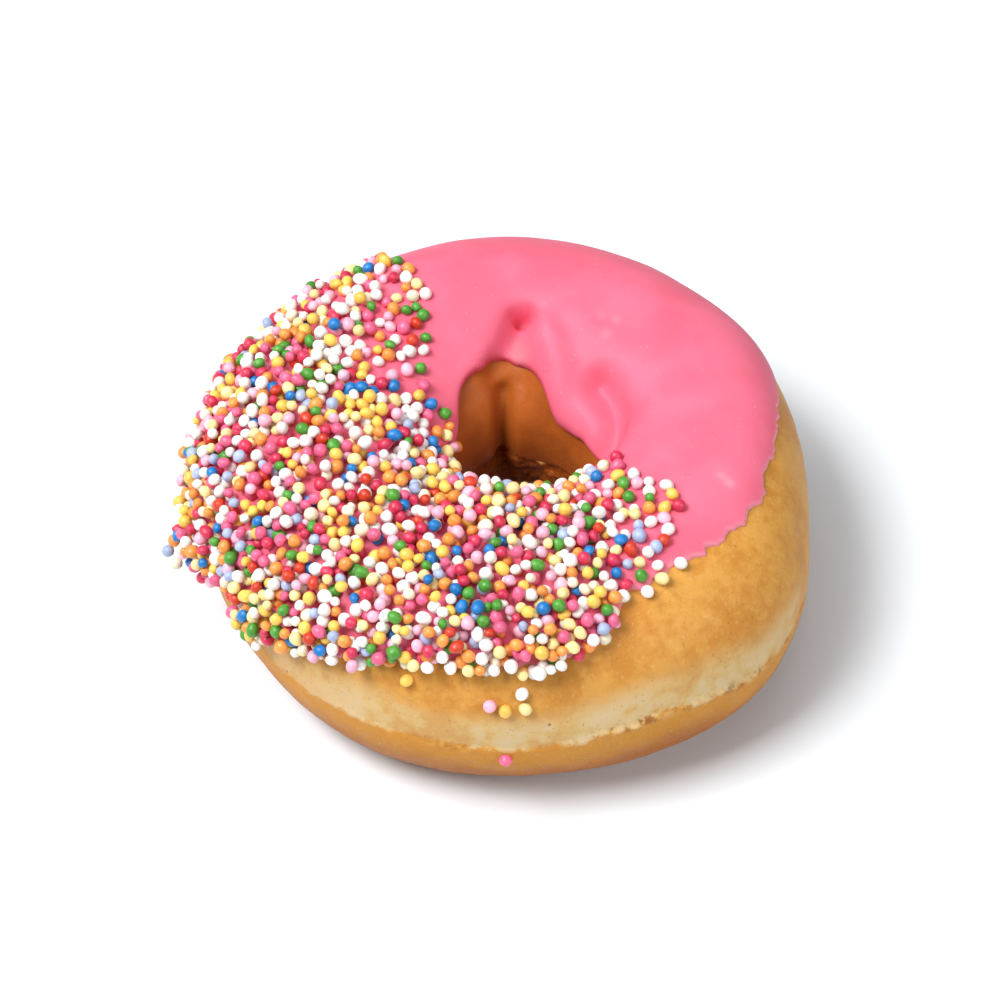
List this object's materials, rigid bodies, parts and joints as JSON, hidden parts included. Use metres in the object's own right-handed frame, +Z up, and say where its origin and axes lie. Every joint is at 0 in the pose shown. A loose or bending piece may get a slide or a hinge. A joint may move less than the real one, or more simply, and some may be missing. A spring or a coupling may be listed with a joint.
{
  "type": "sprinkle frosted doughnut",
  "caption": "Ring doughnut with a pink iced top and round sugar sprinkles over one half, lying flat.",
  "frame": {"origin": "middle of the bounding box in plan, on the flat underside", "axes": "+Z up, square to the face it rests on; +X to the right and +Y away, as the camera of the picture sees it; the sprinkled half is towards -X and -Y"},
  "size_m": [0.0864, 0.0859, 0.0356],
  "materials": {
    "dough": "fried golden crust, slightly oily, with a pale band round the waist",
    "icing": "soft satin gloss, set sugar icing",
    "sprinkles": "satin sugar balls in mixed colours"
  },
  "bodies": {
    "root": {"dough": "dough", "icing": "icing"}
  },
  "joints": []
}
